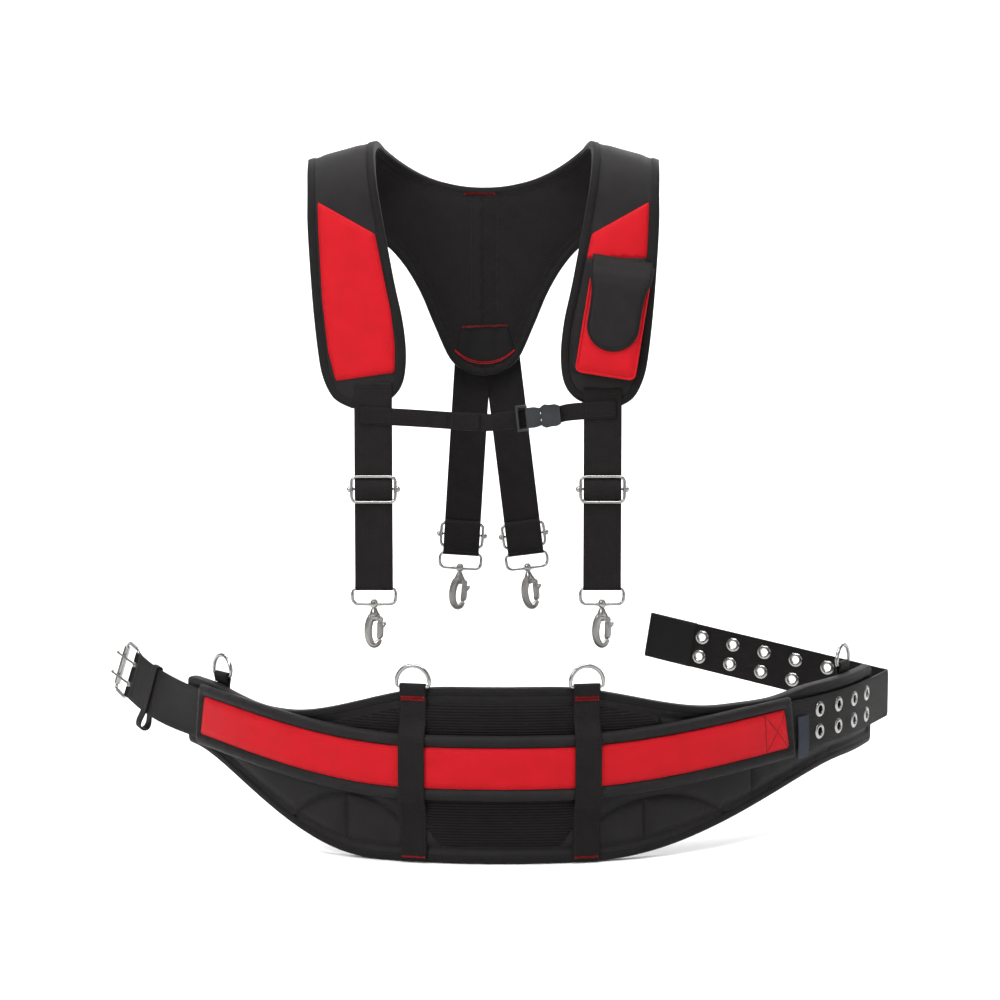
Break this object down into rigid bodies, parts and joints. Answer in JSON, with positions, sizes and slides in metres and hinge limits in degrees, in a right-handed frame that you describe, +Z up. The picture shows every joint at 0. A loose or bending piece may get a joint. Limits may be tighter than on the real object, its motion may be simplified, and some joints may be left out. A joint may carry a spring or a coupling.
{
  "type": "tool belt with suspenders",
  "caption": "Padded lumbar tool belt with a roller buckle and an eyelet tail, and padded shoulder suspenders with a phone pocket and swivel snap hooks.",
  "frame": {"origin": "middle of the lumbar pad's inner face, where it meets the wearer's back", "axes": "+X along the pad towards the tongue end, +Y out of the pad's inner face towards the wearer, +Z up"},
  "size_m": [1.0589, 0.5509, 0.8607],
  "materials": {
    "pad_fabric": "woven black nylon with a soft sheen",
    "foam": "soft foam inside the covers",
    "mesh": "black spacer mesh",
    "binding": "black binding tape",
    "red_fabric": "red ballistic weave",
    "webbing": "ribbed black nylon webbing",
    "nickel": "nickel-plated wire",
    "hook_metal": "plated zinc casting",
    "buckle_plastic": "moulded dark plastic",
    "tag": "plain woven label"
  },
  "bodies": {
    "belt": {"lumbar_foam": "foam", "lumbar_outer_cover": "pad_fabric", "lumbar_mesh_liner": "mesh", "lumbar_binding": "binding", "belt_sleeve_foam": "foam", "belt_red_panel": "red_fabric", "sleeve_bindings": "binding", "back_loop_left": "webbing", "back_loop_right": "webbing", "side_tab_left": "webbing", "side_tab_right": "webbing", "buckle_strap": "webbing", "tongue_strap_front": "webbing", "tongue_strap_bend": "webbing", "tongue_strap_tail": "webbing", "tongue_tip_wrap": "binding", "grommets": "nickel", "care_tag": "tag"},
    "strap_keeper": {"strap_keeper": "webbing"},
    "buckle_frame": {"buckle_frame": "nickel"},
    "buckle_roller": {"buckle_roller": "nickel"},
    "buckle_prong_upper": {"buckle_prong_upper": "nickel"},
    "buckle_prong_lower": {"buckle_prong_lower": "nickel"},
    "suspenders": {"shoulder_pad_left": "pad_fabric", "shoulder_pad_right": "pad_fabric", "back_yoke": "mesh", "red_panel_left": "red_fabric", "red_panel_right": "red_fabric", "harness_bindings": "binding", "yoke_patch": "webbing", "front_webbing_left": "webbing", "front_webbing_right": "webbing", "rear_webbing_left": "webbing", "rear_webbing_right": "webbing", "chest_webbing_left": "webbing", "chest_webbing_right": "webbing", "phone_pocket": "red_fabric", "chest_buckle_female": "buckle_plastic"},
    "pocket_flap": {"pocket_flap": "pad_fabric"},
    "chest_buckle_male": {"chest_buckle_male": "buckle_plastic"},
    "male_arm_upper": {"male_arm_upper": "buckle_plastic"},
    "male_arm_lower": {"male_arm_lower": "buckle_plastic"},
    "d_ring_back_left": {"d_ring_back_left": "nickel"},
    "d_ring_back_right": {"d_ring_back_right": "nickel"},
    "d_ring_side_left": {"d_ring_side_left": "nickel"},
    "d_ring_side_right": {"d_ring_side_right": "nickel"},
    "slider_front_left": {"slider_front_left": "nickel"},
    "hook_loop_front_left": {"hook_loop_front_left": "nickel"},
    "hook_front_left": {"hook_front_left": "hook_metal"},
    "gate_front_left": {"gate_front_left": "hook_metal"},
    "slider_front_right": {"slider_front_right": "nickel"},
    "hook_loop_front_right": {"hook_loop_front_right": "nickel"},
    "hook_front_right": {"hook_front_right": "hook_metal"},
    "gate_front_right": {"gate_front_right": "hook_metal"},
    "slider_rear_left": {"slider_rear_left": "nickel"},
    "hook_loop_rear_left": {"hook_loop_rear_left": "nickel"},
    "hook_rear_left": {"hook_rear_left": "hook_metal"},
    "gate_rear_left": {"gate_rear_left": "hook_metal"},
    "slider_rear_right": {"slider_rear_right": "nickel"},
    "hook_loop_rear_right": {"hook_loop_rear_right": "nickel"},
    "hook_rear_right": {"hook_rear_right": "hook_metal"},
    "gate_rear_right": {"gate_rear_right": "hook_metal"}
  },
  "joints": [
    {"name": "suspenders_lift", "type": "slide", "parent": "belt", "child": "suspenders", "axis": [0, 0, 1], "range_m": [0, 0.12]},
    {"name": "d_ring_back_left_swing", "type": "hinge", "parent": "belt", "child": "d_ring_back_left", "pos_m": [-0.10277, -0.00483, 0.107], "axis": [0.9754, -0.2204, 0], "range_deg": [-80, 120]},
    {"name": "d_ring_back_right_swing", "type": "hinge", "parent": "belt", "child": "d_ring_back_right", "pos_m": [0.1025, -0.00641, 0.107], "axis": [0.9816, 0.1911, 0], "range_deg": [-80, 120]},
    {"name": "d_ring_side_left_swing", "type": "hinge", "parent": "belt", "child": "d_ring_side_left", "pos_m": [-0.34922, 0.16778, 0.092], "axis": [0.6285, -0.7778, 0], "range_deg": [-90, 100]},
    {"name": "d_ring_side_right_swing", "type": "hinge", "parent": "belt", "child": "d_ring_side_right", "pos_m": [0.44463, 0.2523, 0.092], "axis": [0.5158, 0.8567, 0], "range_deg": [-90, 100]},
    {"name": "buckle_frame_tilt", "type": "hinge", "parent": "belt", "child": "buckle_frame", "pos_m": [-0.496, 0.365, 0.0587], "axis": [0.2933, -0.0301, 0.9556], "range_deg": [-30, 30]},
    {"name": "roller_spin", "type": "hinge", "parent": "buckle_frame", "child": "buckle_roller", "pos_m": [-0.51605, 0.40118, 0.06599], "axis": [0.2933, -0.0301, 0.9556], "continuous": true},
    {"name": "prong_upper_lift", "type": "hinge", "parent": "buckle_frame", "child": "buckle_prong_upper", "pos_m": [-0.49189, 0.36458, 0.07208], "axis": [0.2933, -0.0301, 0.9556], "range_deg": [0, 100]},
    {"name": "prong_lower_lift", "type": "hinge", "parent": "buckle_frame", "child": "buckle_prong_lower", "pos_m": [-0.50011, 0.36542, 0.04532], "axis": [0.2933, -0.0301, 0.9556], "range_deg": [0, 100]},
    {"name": "keeper_slide", "type": "slide", "parent": "belt", "child": "strap_keeper", "axis": [-0.4939, 0.8639, 0.0988], "range_m": [-0.015, 0.015]},
    {"name": "pocket_flap_lift", "type": "hinge", "parent": "suspenders", "child": "pocket_flap", "pos_m": [0.148, 0.0811, 0.611], "axis": [-0.9877, 0, 0.1564], "range_deg": [0, 135]},
    {"name": "chest_buckle_slide", "type": "slide", "parent": "suspenders", "child": "chest_buckle_male", "axis": [-0.9945, 0, -0.1045], "range_m": [0, 0.034]},
    {"name": "male_arm_upper_squeeze", "type": "hinge", "parent": "chest_buckle_male", "child": "male_arm_upper", "pos_m": [0.04497, 0.0758, 0.42798], "axis": [0, 1, 0], "range_deg": [0, 6], "stiffness_Nm_per_rad": 0.05},
    {"name": "male_arm_lower_squeeze", "type": "hinge", "parent": "chest_buckle_male", "child": "male_arm_lower", "pos_m": [0.04643, 0.0758, 0.41406], "axis": [0, 1, 0], "range_deg": [-6, 0], "stiffness_Nm_per_rad": 0.05},
    {"name": "slider_front_left_slide", "type": "slide", "parent": "suspenders", "child": "slider_front_left", "axis": [0, 0, 1], "range_m": [-0.05, 0.05]},
    {"name": "hook_loop_front_left_swing", "type": "hinge", "parent": "suspenders", "child": "hook_loop_front_left", "pos_m": [-0.153, 0.08395, 0.213], "axis": [1, 0, 0], "range_deg": [-40, 40]},
    {"name": "hook_front_left_swivel", "type": "hinge", "parent": "hook_loop_front_left", "child": "hook_front_left", "pos_m": [-0.153, 0.08395, 0.193], "axis": [0, 0, 1], "continuous": true},
    {"name": "gate_front_left_open", "type": "hinge", "parent": "hook_front_left", "child": "gate_front_left", "pos_m": [-0.1458, 0.08395, 0.174], "axis": [0, 1, 0], "range_deg": [0, 18], "stiffness_Nm_per_rad": 0.02, "springref_deg": -11.46},
    {"name": "slider_front_right_slide", "type": "slide", "parent": "suspenders", "child": "slider_front_right", "axis": [0, 0, 1], "range_m": [-0.05, 0.05]},
    {"name": "hook_loop_front_right_swing", "type": "hinge", "parent": "suspenders", "child": "hook_loop_front_right", "pos_m": [0.124, 0.08395, 0.213], "axis": [1, 0, 0], "range_deg": [-40, 40]},
    {"name": "hook_front_right_swivel", "type": "hinge", "parent": "hook_loop_front_right", "child": "hook_front_right", "pos_m": [0.124, 0.08395, 0.193], "axis": [0, 0, 1], "continuous": true},
    {"name": "gate_front_right_open", "type": "hinge", "parent": "hook_front_right", "child": "gate_front_right", "pos_m": [0.1312, 0.08395, 0.174], "axis": [0, 1, 0], "range_deg": [0, 18], "stiffness_Nm_per_rad": 0.02, "springref_deg": -11.46},
    {"name": "slider_rear_left_slide", "type": "slide", "parent": "suspenders", "child": "slider_rear_left", "axis": [0.0628, 0, 0.998], "range_m": [0, 0.06]},
    {"name": "hook_loop_rear_left_swing", "type": "hinge", "parent": "suspenders", "child": "hook_loop_rear_left", "pos_m": [-0.05, 0.22645, 0.24], "axis": [0.998, 0, -0.0628], "range_deg": [-40, 40]},
    {"name": "hook_rear_left_swivel", "type": "hinge", "parent": "hook_loop_rear_left", "child": "hook_rear_left", "pos_m": [-0.05126, 0.22645, 0.22004], "axis": [0.0628, 0, 0.998], "continuous": true},
    {"name": "gate_rear_left_open", "type": "hinge", "parent": "hook_rear_left", "child": "gate_rear_left", "pos_m": [-0.04526, 0.22645, 0.20062], "axis": [0, 1, 0], "range_deg": [0, 18], "stiffness_Nm_per_rad": 0.02, "springref_deg": -11.46},
    {"name": "slider_rear_right_slide", "type": "slide", "parent": "suspenders", "child": "slider_rear_right", "axis": [-0.1219, 0, 0.9925], "range_m": [0, 0.06]},
    {"name": "hook_loop_rear_right_swing", "type": "hinge", "parent": "suspenders", "child": "hook_loop_rear_right", "pos_m": [0.033, 0.22855, 0.24], "axis": [0.9925, 0, 0.1219], "range_deg": [-40, 40]},
    {"name": "hook_rear_right_swivel", "type": "hinge", "parent": "hook_loop_rear_right", "child": "hook_rear_right", "pos_m": [0.03544, 0.22855, 0.22015], "axis": [-0.1219, 0, 0.9925], "continuous": true},
    {"name": "gate_rear_right_open", "type": "hinge", "parent": "hook_rear_right", "child": "gate_rear_right", "pos_m": [0.0449, 0.22855, 0.20217], "axis": [0, 1, 0], "range_deg": [0, 18], "stiffness_Nm_per_rad": 0.02, "springref_deg": -11.46}
  ],
  "couplings": [
    {"joint": "male_arm_lower_squeeze", "follows": "male_arm_upper_squeeze", "ratio": -1}
  ]
}
